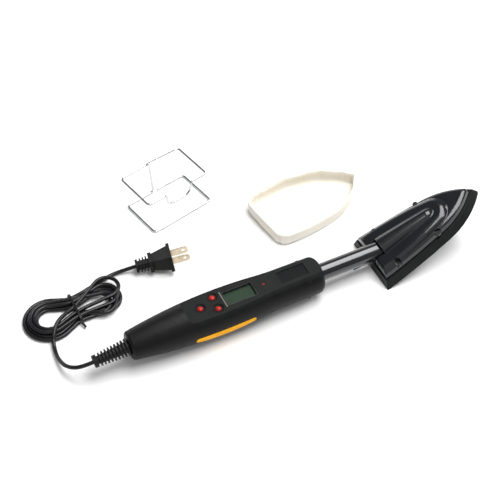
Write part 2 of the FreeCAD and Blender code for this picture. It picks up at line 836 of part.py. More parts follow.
def route_edges(points, radius_rule):
    """Straight runs joined by tangent arcs; radius_rule gives each corner its radius."""
    edges = []
    radii = []
    start = points[0]
    for before, corner, after in zip(points, points[1:], points[2:]):
        back = (before - corner).normalize()
        ahead = (after - corner).normalize()
        half_turn = (math.pi - back.getAngle(ahead)) / 2.0
        run = min((before - corner).Length, (after - corner).Length)
        radius = radius_rule(run, half_turn)
        reach = radius * math.tan(half_turn)
        entry = corner + back * reach
        leave = corner + ahead * reach
        inward = (back + ahead).normalize()
        top = corner + inward * (radius / math.cos(half_turn) - radius)
        edges.append(Part.LineSegment(start, entry).toShape())
        edges.append(Part.Arc(entry, top, leave).toShape())
        radii.append(round(radius, 1))
        start = leave
    edges.append(Part.LineSegment(start, points[-1]).toShape())
    return edges, radii


def cord_rule(run, half_turn):
    return 0.45 * run / math.tan(half_turn)


def sweep_round(label, points, diameter, radius_rule):
    """Round bar along a route, checked against its section times its length."""
    edges, radii = route_edges(points, radius_rule)
    path = Part.Wire(edges)
    way = (points[1] - points[0]).normalize()
    ring = Part.Wire(Part.makeCircle(diameter / 2.0, points[0], way))
    solid = path.makePipeShell([ring], True, True)
    if solid.ShapeType != "Solid":
        solid = Part.Solid(solid.Shells[0])
    expected = math.pi * diameter ** 2 / 4.0 * path.Length
    print(label, "length", round(path.Length, 1), "radii", radii,
          "volume ratio", round(solid.Volume / expected, 4))
    item = doc.addObject("Part::Feature", label)
    item.Label = label
    item.Shape = solid
    item.Placement = Placement(
        Vector(-DIMENSIONS["frame_x"], -DIMENSIONS["frame_y"], 0), Rotation())
    parts.append(item)
    return item


RELIEF_DROP = math.radians(DIMENSIONS["relief_droop"])
CORD_EXIT = Vector(-DIMENSIONS["relief_length"] * math.cos(RELIEF_DROP), 0,
                   DIMENSIONS["handle_belly_rad"]
                   - DIMENSIONS["relief_length"] * math.sin(RELIEF_DROP))

# from the strain relief down to the table and up to the hank, from the tail face's middle
LEAD_ROUTE = [
    CORD_EXIT,
    Vector(-41.0, 0.3, 15.9),
    Vector(-48.5, 5.0, 12.6),
    Vector(-53.2, 13.2, 8.6),
    Vector(-55.0, 23.5, 5.2),
    Vector(-54.6, 34.0, 2.9),
    Vector(-52.6, 44.5, 1.8),
]

# plug's own frame: +X towards the blades, origin where the cord enters it
PLUG_AT = Vector(43.6, 90.0, 7.0)
PLUG_TURN = Rotation(-13.0, -7.0, -14.5)

# from the hank along the table to the plug
TAIL_ROUTE = [
    Vector(3.0, 88.4, 4.6),
    Vector(12.0, 92.4, 2.4),
    Vector(22.8, 95.0, 1.9),
    Vector(33.8, 93.4, 3.6),
    PLUG_AT,
]


RELIEF_SEAT = 1.5


def make_relief():
    body = new_body("strain_relief")
    body.Placement = Placement(Vector(), Rotation(Vector(0, 1, 0), -DIMENSIONS["relief_droop"]))
    placed(body, shift_z=AXIS_HEIGHT)
    length = DIMENSIONS["relief_length"]
    # the drooping flange's upper edge leans back, so it sits this far inside the tail wall
    inside = DIMENSIONS["tail_wall"] + RELIEF_SEAT
    count = int(DIMENSIONS["relief_ribs"])
    pitch = (length - 4.6) / count
    corners = [(inside + 2.0, 0), (inside + 2.0, 7.4), (inside, 7.4), (inside, 4.6), (-0.9, 5.0)]
    for index in range(count):
        back = -0.9 - index * pitch
        share = index / count
        rib = 7.7 - 2.0 * share
        core = 5.0 - 1.3 * share
        corners += [(back, rib), (back - 1.2, rib), (back - 1.2, core), (back - pitch, core - 0.1)]
    corners += [(-length + 3.4, 5.8), (-length, 5.4), (-length, 0)]
    outline(new_sketch(body, "XZ_Plane"), corners)
    section = body.Group[-1]
    turn(body, section)


def hank_outline(sketch):
    """Dog-bone outline of the tied hank, from above."""
    corners = [
        (-45.0, 93.5), (-69.5, 70.0), (-50.0, 46.8), (-26.0, 53.6), (-4.0, 52.4), (21.0, 68.0),
        (14.0, 91.2), (-18.0, 87.4),
    ]
    return outline(sketch, corners, {0: 26.0, 1: 26.0, 4: 26.0, 5: 17.0})


HANK_HEIGHT = 9.4
TIE_AT = -24.0
TIE_WIDE = 2.6
TIE_THICK = 0.8


def make_hank():
    body = placed(new_body("cord_hank"))
    pad(body, hank_outline(new_sketch(body, "XY_Plane")), HANK_HEIGHT)
    groove = new_sketch(body, "XY_Plane")
    outline(groove, box_corners(TIE_AT, TIE_AT + TIE_WIDE, 40.0, 100.0))
    cut(body, groove, TIE_THICK, upward=True)

    tie = placed(new_body("hank_tie"))
    band = new_sketch(tie, "YZ_Plane", as_size(TIE_AT))
    low, high = 52.6, 89.0
    outline(band, box_corners(low - TIE_THICK, high + TIE_THICK, 0, HANK_HEIGHT + TIE_THICK))
    outline(band, box_corners(low + 0.6, high - 0.9, TIE_THICK, HANK_HEIGHT))
    pad(tie, band, TIE_WIDE)


def make_cord():
    sweep_round("cord_lead", LEAD_ROUTE, DIMENSIONS["cord_dia"], cord_rule)
    sweep_round("cord_tail", TAIL_ROUTE, DIMENSIONS["cord_dia"], cord_rule)


def on_plug(item):
    item.Placement = Placement(Vector(), PLUG_TURN)
    return placed(item, PLUG_AT.x, PLUG_AT.y, PLUG_AT.z)


def centred_box(across, along):
    return box_corners(-across / 2.0, across / 2.0, -along / 2.0, along / 2.0)


def make_plug():
    body = on_plug(new_body("plug_body"))
    length = dim("plug_length")
    # ribbed neck, waisted collar, tapered grip and front flange, as (from, length, wide, tall)
    blocks = [(0.0, 17.0, 7.0, 6.0), (0.0, 2.2, 10.4, 7.8), (4.0, 1.3, 10.8, 8.0),
              (6.8, 1.3, 11.2, 8.4), (9.6, 1.3, 11.4, 8.8), (12.4, 3.2, 16.0, 11.4)]
    for start, thick, wide, tall in blocks:
        block = outline(new_sketch(body, "YZ_Plane", as_size(start)), centred_box(wide, tall))
        pad(body, block, thick)
    loft = body.newObject("PartDesign::AdditiveLoft", "plug_body_grip")
    rear = outline(new_sketch(body, "YZ_Plane", as_size(15.6)), centred_box(12.8, 9.8))
    front = outline(new_sketch(body, "YZ_Plane", length - 3.0), centred_box(20.0, 13.6))
    loft.Profile = rear
    loft.Sections = [front]
    loft.Ruled = True
    body.Tip = loft
    flange = new_sketch(body, "YZ_Plane", length - 3.0)
    outline(flange, centred_box(23.5, 16.0))
    pad(body, flange, 3.0)

    pitch = dim("blade_pitch") * 0.5
    half = dim("blade_width") * 0.5
    thick = dim("blade_thick")
    for label, sign in (("plug_blade_left", 1.0), ("plug_blade_right", -1.0)):
        blade = on_plug(new_body(label))
        side = pitch * sign - thick * 0.5
        start = length
        end = start + dim("blade_length")
        face = new_sketch(blade, "XZ_Plane", -side)
        outline(face, [(start, -half), (end - 1.6, -half), (end, -half + 1.6),
                       (end, half - 1.6), (end - 1.6, half), (start, half)])
        circles(face, [(end - 4.5, 0, dim("blade_hole_rad"))])
        pad(blade, face, thick, Reversed=True)


# ---------------------------------------------------------------- wire rest

REST_AT = (104.7, 154.5)
REST_TURN = 13.0
REST_SHIFT = (-3.2, 1.2)
WIRE_BEND = 3.6


def make_rest():
    """One bent wire: base loop, strut up from the middle of its back, top loop with a cradle."""
    wire = DIMENSIONS["wire_dia"]
    low = wire / 2.0
    high = DIMENSIONS["rest_top"] - wire / 2.0
    half_x = DIMENSIONS["rest_half_x"]
    half_y = DIMENSIONS["rest_half_y"]
    shift_x, shift_y = REST_SHIFT
    back = half_y + shift_y
    front = -half_y + shift_y
    left = -half_x + shift_x
    right = half_x + shift_x
    cradle_low = high - DIMENSIONS["cradle_deep"]
    points = [
        (2.2, half_y, low), (half_x, half_y, low), (half_x, -half_y, low),
        (-half_x, -half_y, low), (-half_x, half_y, low), (-2.4, half_y, low),
        (-4.4, back, high), (left, back, high), (left, front, high),
        (-16.0, front, high), (-15.0, front, cradle_low), (10.0, front, cradle_low),
        (12.0, front, high), (right, front, high), (right, back, high),
        (-7.0, back, high + wire + 0.1),
    ]
    bends = {10: 12.0, 11: 12.0, 9: 2.4, 12: 2.4, 6: 2.6}

    places = [Vector(*point) for point in points]
    order = iter(range(1, len(places) - 1))

    def wire_rule(run, half_turn):
        wanted = bends.get(next(order), WIRE_BEND)
        return min(wanted, 0.48 * run / math.tan(half_turn))

    item = sweep_round("rest_wire", places, wire, wire_rule)
    item.Placement = Placement(
        Vector(REST_AT[0] - DIMENSIONS["frame_x"], REST_AT[1] - DIMENSIONS["frame_y"], 0),
        Rotation(REST_TURN, 0, 0))


# ---------------------------------------------------------------- cotton cover

SOCK_AT = (170.0, 86.0)
SOCK_TURN = 7.5


def sock_outline(sketch, inset=0.0):
    corners = [
        (inset, -20.0), (12.0, -31.0 + inset), (66.0 - inset * 0.3, -30.0 + inset),
        (106.0 - inset * 1.2, -3.0), (106.0 - inset * 1.2, 3.0),
        (66.0 - inset * 0.3, 30.0 - inset), (12.0, 31.0 - inset), (inset, 20.0),
    ]
    radii = {0: 12.5, 1: 185.0, 2: 70.0 - inset, 3: 3.6, 4: 70.0 - inset, 5: 185.0, 6: 12.5}
    return outline(sketch, corners, radii)


def make_sock():
    body = new_body("cotton_sock")
    body.Placement = Placement(Vector(), Rotation(SOCK_TURN, 0, 0))
    placed(body, *SOCK_AT)
    pad(body, sock_outline(new_sketch(body, "XY_Plane")), dim("sock_height"))
    inside = sock_outline(new_sketch(body, "XY_Plane", dim("sock_wall")),
                          DIMENSIONS["sock_wall"])
    cut(body, inside, dim("sock_height"), upward=True)


# ---------------------------------------------------------------- build, check and write

make_upper_shell()
make_lower_shell()
make_handle_screws()
make_side_inlay("side_inlay_right", -1.0)
make_side_inlay("side_inlay_left", 1.0)
make_fascia()
for button in BUTTONS:
    make_button(*button)
make_board_parts()
make_shank()
make_sole()
make_cover()
make_shoe_parts()
make_relief()
make_hank()
make_cord()
make_plug()
make_rest()
make_sock()
doc.recompute()

problems = []
for item in doc.Objects:
    if "Invalid" in item.State or "Error" in item.State:
        problems.append(f"{item.Label}: {item.State}")
for part in parts:
    if part.Shape.isNull() or not part.Shape.isValid() or not part.Shape.Solids:
        problems.append(f"{part.Label}: bad shape")
if problems:
    raise RuntimeError("; ".join(problems))

os.makedirs("parts", exist_ok=True)
for part in parts:
    part.Shape.exportStep(f"parts/{part.Label}.step")
    print(part.Label, len(part.Shape.Solids), round(part.Shape.Volume))
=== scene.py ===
import bmesh
import bpy
import math
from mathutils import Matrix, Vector, noise


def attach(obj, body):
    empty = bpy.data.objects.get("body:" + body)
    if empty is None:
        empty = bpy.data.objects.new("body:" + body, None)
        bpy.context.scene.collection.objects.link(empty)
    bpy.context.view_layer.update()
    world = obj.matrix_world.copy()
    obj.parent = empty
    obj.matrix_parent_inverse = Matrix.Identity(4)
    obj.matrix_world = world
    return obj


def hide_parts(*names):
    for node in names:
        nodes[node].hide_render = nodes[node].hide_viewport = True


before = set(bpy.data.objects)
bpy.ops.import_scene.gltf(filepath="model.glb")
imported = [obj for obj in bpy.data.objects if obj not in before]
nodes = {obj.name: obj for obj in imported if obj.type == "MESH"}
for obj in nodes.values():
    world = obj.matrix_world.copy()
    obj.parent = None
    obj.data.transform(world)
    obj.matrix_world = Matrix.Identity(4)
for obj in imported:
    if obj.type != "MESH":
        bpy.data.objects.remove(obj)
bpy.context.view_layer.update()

# Heat-sealing iron with its cord, wire rest and cotton sole cover. Places are in the handle's own
# millimetres: x from its tail face, y from its axis and z from the table. at() puts them in the
# shared frame.
FRAME_X = 156.19
FRAME_Y = 76.6
MM = 0.001


def at(x, y, z):
    return Vector(((x - FRAME_X) * MM, (y - FRAME_Y) * MM, z * MM))


# ---------------------------------------------------------------- camera

CAMERA_AIM = at(147.91, 65.81, 0.0)
CAMERA_AZIMUTH = math.radians(-26.46)
CAMERA_ELEVATION = math.radians(48.42)
CAMERA_DISTANCE = 1.10684
CAMERA_LENS = 86.06
CAMERA_SENSOR = 36.0
CAMERA_NEAR = 0.05


def make_camera():
    data = bpy.data.cameras.new("camera")
    data.sensor_width = CAMERA_SENSOR
    data.lens = CAMERA_LENS
    data.clip_start = CAMERA_NEAR
    camera = bpy.data.objects.new("camera", data)
    bpy.context.scene.collection.objects.link(camera)
    back = Vector((
        math.sin(CAMERA_AZIMUTH) * math.cos(CAMERA_ELEVATION),
        -math.cos(CAMERA_AZIMUTH) * math.cos(CAMERA_ELEVATION),
        math.sin(CAMERA_ELEVATION),
    ))
    camera.location = CAMERA_AIM + back * CAMERA_DISTANCE
    camera.rotation_mode = "QUATERNION"
    camera.rotation_quaternion = (-back).to_track_quat("-Z", "Y")
    bpy.context.scene.camera = camera


make_camera()

# ---------------------------------------------------------------- materials


def node_of(tree, kind, **inputs):
    node = tree.nodes.new(kind)
    for name, value in inputs.items():
        node.inputs[name.replace("_", " ")].default_value = value
    return node


def noise_of(tree, place, scale, detail=3.0, rough=0.55):
    noise = node_of(tree, "ShaderNodeTexNoise", Scale=scale, Detail=detail, Roughness=rough)
    tree.links.new(place, noise.inputs["Vector"])
    return noise.outputs["Fac"]


def spread(tree, factor, low, high, from_low=0.3, from_high=0.7):
    span = tree.nodes.new("ShaderNodeMapRange")
    for name, value in (("From Min", from_low), ("From Max", from_high),
                        ("To Min", low), ("To Max", high)):
        span.inputs[name].default_value = value
    tree.links.new(factor, span.inputs["Value"])
    return span.outputs["Result"]


def blend_colours(tree, factor, first, second):
    mix = tree.nodes.new("ShaderNodeMix")
    mix.data_type = "RGBA"
    mix.inputs[6].default_value = (*first, 1.0)
    mix.inputs[7].default_value = (*second, 1.0)
    tree.links.new(factor, mix.inputs[0])
    return mix.outputs[2]


GRAIN_DEPTH = 0.0002


def surface(name, colour, rough, metallic=0.0, grain=0.0, grain_scale=2500.0, vary=0.18,
            vary_scale=90.0, rough_vary=0.06, stretch=(1.0, 1.0, 1.0), **sockets):
    """Material with uneven colour and roughness and a fine bump, in metres of object space."""
    material = bpy.data.materials.new(name)
    material.use_nodes = True
    tree = material.node_tree
    shader = tree.nodes["Principled BSDF"]
    place = tree.nodes.new("ShaderNodeTexCoord").outputs["Object"]
    if stretch != (1.0, 1.0, 1.0):
        mapping = tree.nodes.new("ShaderNodeMapping")
        mapping.inputs["Scale"].default_value = stretch
        tree.links.new(place, mapping.inputs["Vector"])
        place = mapping.outputs["Vector"]
    patches = noise_of(tree, place, vary_scale)
    dark = tuple(part * (1.0 - vary) for part in colour)
    light = tuple(min(1.0, part * (1.0 + vary)) for part in colour)
    tree.links.new(blend_colours(tree, spread(tree, patches, 0.0, 1.0), dark, light),
                   shader.inputs["Base Color"])
    smears = noise_of(tree, place, vary_scale * 2.7)
    tree.links.new(spread(tree, smears, max(0.02, rough - rough_vary), rough + rough_vary),
                   shader.inputs["Roughness"])
    shader.inputs["Metallic"].default_value = metallic
    for socket, value in sockets.items():
        shader.inputs[socket.replace("_", " ")].default_value = value
    if grain:
        bump = tree.nodes.new("ShaderNodeBump")
        bump.inputs["Strength"].default_value = grain
        bump.inputs["Distance"].default_value = GRAIN_DEPTH
        tree.links.new(noise_of(tree, place, grain_scale, 2.0), bump.inputs["Height"])
        tree.links.new(bump.outputs["Normal"], shader.inputs["Normal"])
    return material


# a whole turn, rounded: the weave's threads lie where this value puts them
WAVE_TURN = 6.2832


def woven(name, light, dark, pitch):
    """Plain weave: two crossed sets of threads, with slubs and soft creasing."""
    material = bpy.data.materials.new(name)
    material.use_nodes = True
    tree = material.node_tree
    shader = tree.nodes["Principled BSDF"]
    place = tree.nodes.new("ShaderNodeTexCoord").outputs["Object"]
    heights = []
    for direction in ("X", "Y", "Z"):
        wave = node_of(tree, "ShaderNodeTexWave", Scale=2.0 / pitch / WAVE_TURN,
                       Distortion=1.2, Detail=1.0)
        wave.bands_direction = direction
        tree.links.new(place, wave.inputs["Vector"])
        heights.append(wave.outputs["Fac"])
    total = heights[0]
    for height in heights[1:]:
        add = tree.nodes.new("ShaderNodeMath")
        add.operation = "ADD"
        tree.links.new(total, add.inputs[0])
        tree.links.new(height, add.inputs[1])
        total = add.outputs[0]
    threads = spread(tree, total, 0.0, 1.0, 0.7, 2.3)
    patches = noise_of(tree, place, 55.0, 5.0)
    both = tree.nodes.new("ShaderNodeMath")
    both.operation = "MULTIPLY_ADD"
    both.inputs[1].default_value = 0.35
    tree.links.new(threads, both.inputs[0])
    tree.links.new(spread(tree, patches, 0.0, 0.65), both.inputs[2])
    tree.links.new(blend_colours(tree, both.outputs[0], dark, light), shader.inputs["Base Color"])
    shader.inputs["Roughness"].default_value = 0.92
    shader.inputs["Sheen Weight"].default_value = 0.25
    shader.inputs["Sheen Roughness"].default_value = 0.5
    bump = tree.nodes.new("ShaderNodeBump")
    bump.inputs["Strength"].default_value = 0.5
    bump.inputs["Distance"].default_value = GRAIN_DEPTH
    tree.links.new(total, bump.inputs["Height"])
    tree.links.new(bump.outputs["Normal"], shader.inputs["Normal"])
    return material


HANDLE = surface("handle_plastic", (0.0055, 0.0059, 0.0056), 0.42, grain=0.3, grain_scale=1900.0,
                 Specular_IOR_Level=0.15)
FASCIA = surface("fascia_plastic", (0.0085, 0.009, 0.0092), 0.46, grain=0.25, grain_scale=2600.0,
                 Specular_IOR_Level=0.13)
INLAY = surface("inlay_plastic", (0.95, 0.44, 0.005), 0.5, vary=0.05, grain=0.12,
                Specular_IOR_Level=0.12)
RED = surface("button_plastic", (0.42, 0.01, 0.007), 0.34, vary=0.1, grain=0.05,
              Specular_IOR_Level=0.3)
LAMP = surface("lamp_lens", (0.16, 0.008, 0.007), 0.25, vary=0.12, Specular_IOR_Level=0.3)
LAMP_OFF = surface("lamp_lens_dark", (0.02, 0.01, 0.01), 0.25, vary=0.12,
                   Specular_IOR_Level=0.3)
LCD = surface("lcd_glass", (0.022, 0.045, 0.026), 0.14, vary=0.08, vary_scale=200.0,
              rough_vary=0.03, Coat_Weight=0.5, Coat_Roughness=0.05)
FRAME_BLACK = surface("frame_plastic", (0.016, 0.016, 0.016), 0.3, grain=0.1)
# The window bar's pale grey is a painted highlight: it stands for the glint along the lit edge of
# the display's bezel.
PAINTED_HIGHLIGHT = surface("painted_bezel_highlight", (0.14, 0.14, 0.12), 0.45, vary=0.12, Specular_IOR_Level=0.3)
LABEL = surface("label_film", (0.0055, 0.006, 0.0065), 0.42, vary=0.06, vary_scale=30.0,
                rough_vary=0.02, Specular_IOR_Level=0.09)
BOARD = surface("board_laminate", (0.03, 0.16, 0.06), 0.35, grain=0.2, vary_scale=400.0)
COMPONENT = surface("component_plastic", (0.03, 0.03, 0.03), 0.5, grain=0.3)
CAPACITOR = surface("capacitor_film", (0.62, 0.44, 0.06), 0.3, vary=0.1, grain=0.1)
SLEEVE = surface("lead_sleeve", (0.62, 0.58, 0.5), 0.8, grain=0.5, vary_scale=700.0)
TUBE = surface("shank_enamel", (0.012, 0.013, 0.016), 0.2, metallic=0.3, rough_vary=0.04,
               vary_scale=60.0, stretch=(0.25, 1.0, 1.0), Coat_Weight=0.9, Coat_Roughness=0.1)
STEEL = surface("bright_steel", (0.52, 0.52, 0.53), 0.26, metallic=1.0, vary=0.12,
                stretch=(0.15, 1.0, 1.0), grain=0.15)
SOLE = surface("sole_coating", (0.008, 0.009, 0.0085), 0.44, metallic=0.2, grain=0.2,
               grain_scale=1500.0, Specular_IOR_Level=0.18)
COVER = surface("cover_enamel", (0.004, 0.005, 0.007), 0.2, rough_vary=0.03, vary_scale=30.0,
                Specular_IOR_Level=0.3, Coat_Weight=0.6, Coat_Roughness=0.08)
SCREW = surface("screw_steel", (0.1, 0.1, 0.1), 0.3, metallic=1.0, vary=0.25, grain=0.1)
HEATER = surface("heater_steel", (0.32, 0.28, 0.24), 0.4, metallic=1.0, vary=0.25)
CHROME = surface("wire_chrome", (0.64, 0.65, 0.66), 0.14, metallic=1.0, vary=0.08,
                 rough_vary=0.04, vary_scale=150.0)
COTTON = woven("cotton_weave", (0.94, 0.91, 0.84), (0.86, 0.8, 0.68), 0.00085)
THREAD = surface("cotton_thread", (0.87, 0.78, 0.6), 0.9, grain=0.8, grain_scale=3000.0,
              Sheen_Weight=0.3)
CORD = surface("cord_jacket", (0.007, 0.007, 0.0085), 0.3, grain=0.12, vary_scale=300.0,
               rough_vary=0.07, Specular_IOR_Level=0.35)
RELIEF = surface("relief_rubber", (0.006, 0.006, 0.0065), 0.5, grain=0.3, Specular_IOR_Level=0.3)
TIE = surface("tie_plastic", (0.01, 0.01, 0.011), 0.25, grain=0.1)
PLUG = surface("plug_plastic", (0.0055, 0.006, 0.0055), 0.46, grain=0.5, grain_scale=1500.0,
               Specular_IOR_Level=0.18)
BLADE = surface("blade_plating", (0.66, 0.57, 0.43), 0.27, metallic=1.0, vary=0.14,
                vary_scale=160.0, grain=0.1)

NODE_MATERIALS = {
    HANDLE: ("handle_upper_shell", "handle_lower_shell"),
    FASCIA: ("control_fascia",),
    INLAY: ("side_inlay_right", "side_inlay_left"),
    RED: ("button_power", "button_up", "button_down"),
    LAMP: ("led_power",),
    LAMP_OFF: ("led_heating",),
    LCD: ("lcd_display",),
    FRAME_BLACK: ("lcd_frame",),
    PAINTED_HIGHLIGHT: ("window_bar",),
    LABEL: ("label_plate",),
    BOARD: ("circuit_board",),
    COMPONENT: ("tactile_switches", "power_triac", "terminal_block", "cord_clamp",
                "thermal_fuse", "nose_bush"),
    CAPACITOR: ("dropper_capacitor",),
    SLEEVE: ("heater_leads",),
    TUBE: ("shank_tube",),
    STEEL: ("shank_saddle", "heater_clamp"),
    SOLE: ("shoe_sole",),
    COVER: ("shoe_cover",),
    SCREW: ("shoe_screws", "handle_screws"),
    HEATER: ("heater_element", "temperature_sensor"),
    CHROME: ("rest_wire",),
    COTTON: ("cotton_sock",),
    CORD: ("cord_lead", "cord_hank", "cord_tail"),
    RELIEF: ("strain_relief",),
    TIE: ("hank_tie",),
    PLUG: ("plug_body",),
    BLADE: ("plug_blade_left", "plug_blade_right"),
}


def smooth(obj, angle=32.0):
    obj.data.shade_smooth()
    obj.data.set_sharp_from_angle(angle=math.radians(angle))


for material, names in NODE_MATERIALS.items():
    for name in names:
        node = nodes[name]
        node.data.materials.clear()
        node.data.materials.append(material)
        smooth(node)


def link(name, data, material):
    obj = bpy.data.objects.new(name, data)
    bpy.context.scene.collection.objects.link(obj)
    data.materials.append(material)
    return obj


# ---------------------------------------------------------------- cord

CORD_DIAMETER = 3.6
RELIEF_LENGTH = 32.0
RELIEF_DROOP = math.radians(5.0)
AXIS_HEIGHT = 19.7
EXIT = (-RELIEF_LENGTH * math.cos(RELIEF_DROOP), 0.0,
        AXIS_HEIGHT - RELIEF_LENGTH * math.sin(RELIEF_DROOP))
PLUG_AT = (43.6, 90.0, 7.0)

LEAD_ROUTE = [
    EXIT, (-41.0, 0.3, 15.9), (-48.5, 5.0, 12.6), (-53.2, 13.2, 8.6), (-55.0, 23.5, 5.2),
    (-54.6, 34.0, 2.9), (-52.6, 44.5, 3.6),
]
OVER_LOBE = [(-49.4, 50.6, 8.0), (-44.0, 58.4, 9.0), (-36.0, 64.6, 8.6)]
TAIL_ROUTE = [(3.0, 88.4, 4.6), (12.0, 92.4, 2.4), (22.8, 95.0, 1.9), (33.8, 93.4, 3.6), PLUG_AT]

TIE_X = -22.7
WAIST_Y = 70.8
LEFT_FOLD = (-46.6, 70.4)
LOW = 2.0
WAIST_LOW = 2.7
WAIST_HIGH = 6.2
# turns in order: offset out over the waist, its height, right fold (x, y, radius, height),
# offset back over the waist, its height, left fold (radius, height)
TURNS = [
    (0.0, WAIST_HIGH, (10.0, 79.0, 11.3, 7.4), -5.0, WAIST_HIGH, (12.8, 5.4)),
    (5.0, WAIST_HIGH, (6.0, 73.2, 11.7, 5.6), -10.0, WAIST_HIGH, (16.4, 5.4)),
    (10.0, WAIST_HIGH, (2.0, 64.6, 11.3, 5.6), -1.9, WAIST_LOW, (11.3, LOW)),
    (1.9, WAIST_LOW, (-2.4, 67.6, 11.4, 4.0), -5.6, WAIST_LOW, (14.8, LOW)),
    (5.6, WAIST_LOW, (3.6, 72.0, 11.8, LOW), -9.3, WAIST_LOW, (18.4, LOW)),
    (9.3, WAIST_LOW, (4.2, 72.0, 15.4, LOW), -13.0, WAIST_LOW, (22.0, LOW)),
]
# where the cord leaves over the waist, and its last place before the tail's own route
LEAVING_OFFSET = 13.0
LEAVING_TO = (-9.0, 85.2, 4.4)
FOLD_STEP = math.radians(30.0)


def fold(centre, radius, height, before, after):
    """Points clockwise round a fold that the cord meets and leaves along straight tangents."""
    start_arm = Vector(before[:2]) - Vector(centre)
    end_arm = Vector(after[:2]) - Vector(centre)
    start = math.atan2(start_arm.y, start_arm.x) - math.acos(radius / start_arm.length)
    end = math.atan2(end_arm.y, end_arm.x) + math.acos(radius / end_arm.length)
    sweep = (end - start) % (2.0 * math.pi) - 2.0 * math.pi
    count = math.ceil(-sweep / FOLD_STEP)
    step = sweep / count
    reach = radius / math.cos(step / 2.0)

    def spot(angle, distance):
        return Vector((centre[0] + distance * math.cos(angle),
                       centre[1] + distance * math.sin(angle), height))

    points = [spot(start + step * (index + 0.5), reach) for index in range(count)]
    yield spot(start, radius) * 2.0 - points[0]
    yield from points
    yield spot(start + sweep, radius) * 2.0 - points[-1]


def hank_points():
    waist = []
    for out, out_height, _, back, back_height, _ in TURNS:
        waist.append((TIE_X, WAIST_Y + out, out_height))
        waist.append((TIE_X, WAIST_Y + back, back_height))
    waist.append((TIE_X, WAIST_Y + LEAVING_OFFSET, WAIST_LOW))
    for index, (_, _, right, _, _, left) in enumerate(TURNS):
        out, back, following = waist[2 * index:2 * index + 3]
        yield out
        yield from fold(right[:2], right[2], right[3], out, back)
        yield back
        yield from fold(LEFT_FOLD, left[0], left[1], back, following)
    yield waist[-1]
    yield LEAVING_TO


def make_cord():
    route = LEAD_ROUTE + OVER_LOBE + list(hank_points()) + TAIL_ROUTE
    curve = bpy.data.curves.new("mains_cord", "CURVE")
    curve.dimensions = "3D"
    spline = curve.splines.new("NURBS")
    spline.points.add(len(route) - 1)
    for point, place in zip(spline.points, route):
        point.co = (*at(*place), 1.0)
    spline.order_u = 3
    spline.use_endpoint_u = True
    spline.resolution_u = 8
    curve.bevel_depth = CORD_DIAMETER * MM / 2.0
    curve.bevel_resolution = 4
    curve.use_fill_caps = True
    cord = link("mains_cord", curve, CORD)
    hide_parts("cord_lead", "cord_hank", "cord_tail")
    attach(cord, "iron")
    return cord


CORD_PIECE = make_cord()

# ---------------------------------------------------------------- twist tie

TIE_RADIUS = 0.62
TIE_LOOP_POINTS = 16
TIE_STUB = ((-22.4, 54.6, 3.4), (-21.2, 48.8, 2.4))
TIE_FROM = -23.8
TIE_LEAD = 2.1
TIE_HALF = 16.2
TIE_MIDDLE = 4.75
TIE_RISE = 4.05
TIE_SIDE_POWER = 0.55
TIE_TOP_POWER = 0.7
TWIST_POINTS = 18
TWIST_TURNS = 2.5
TWIST_RADIUS = 0.6


def corner_power(value, power):
    return math.copysign(abs(value) ** power, value)


def make_tie():
    """Coated wire wrapped twice round the waist, its ends twisted together on the near side."""
    wraps = []
    for index in range(2 * TIE_LOOP_POINTS + 1):
        angle = math.tau * index / TIE_LOOP_POINTS - math.pi
        wraps.append((
            TIE_FROM + TIE_LEAD * index / (2 * TIE_LOOP_POINTS),
            WAIST_Y + TIE_HALF * corner_power(math.cos(angle), TIE_SIDE_POWER),
            TIE_MIDDLE + TIE_RISE * corner_power(math.sin(angle), TIE_TOP_POWER),
        ))
    foot, end = (Vector(place) for place in TIE_STUB)
    along = (end - foot).normalized()
    side = along.cross(Vector((0.0, 0.0, 1.0))).normalized()
    above = side.cross(along)
    curve = bpy.data.curves.new("hank_twist_tie", "CURVE")
    curve.dimensions = "3D"
    for strand, lead_in in ((0.0, wraps), (math.pi, [])):
        twist = []
        for index in range(TWIST_POINTS):
            share = index / (TWIST_POINTS - 1.0)
            angle = strand + share * math.tau * TWIST_TURNS
            twist.append(foot.lerp(end, share) + side * math.cos(angle) * TWIST_RADIUS
                         + above * math.sin(angle) * TWIST_RADIUS)
        route = lead_in + twist
        spline = curve.splines.new("NURBS")
        spline.points.add(len(route) - 1)
        for point, place in zip(spline.points, route):
            point.co = (*at(*place), 1.0)
        spline.order_u = 3
        spline.use_endpoint_u = True
        spline.resolution_u = 5
    curve.bevel_depth = TIE_RADIUS * MM
    curve.bevel_resolution = 3
    curve.use_fill_caps = True
    tie = link("hank_twist_tie", curve, TIE)
    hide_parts("hank_tie")
    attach(tie, "iron")
    return tie


TIE_PIECE = make_tie()

# ---------------------------------------------------------------- outlines

SIDE_STEPS = 12


def arc_outline(corners):
    """Anticlockwise outline of corners joined by straights, or by arcs that bulge outward."""
    places = []
    for index, (x, y, radius) in enumerate(corners):
        here = Vector((x, y))
        chord = Vector(corners[(index + 1) % len(corners)][:2]) - here
        if radius is None:
            places.extend(here + chord * (step / SIDE_STEPS) for step in range(SIDE_STEPS))
            continue
        half = chord.length / 2.0
        turn = math.asin(half / radius)
        inward = Vector((-chord.y, chord.x)).normalized()
        centre = here + chord / 2.0 + inward * math.sqrt(radius ** 2 - half ** 2)
        arm = here - centre
        for step in range(SIDE_STEPS):
            angle = 2.0 * turn * step / SIDE_STEPS
            places.append(centre + Vector((
                arm.x * math.cos(angle) - arm.y * math.sin(angle),
                arm.x * math.sin(angle) + arm.y * math.cos(angle),
            )))
    return places


# ---------------------------------------------------------------- shoe cover

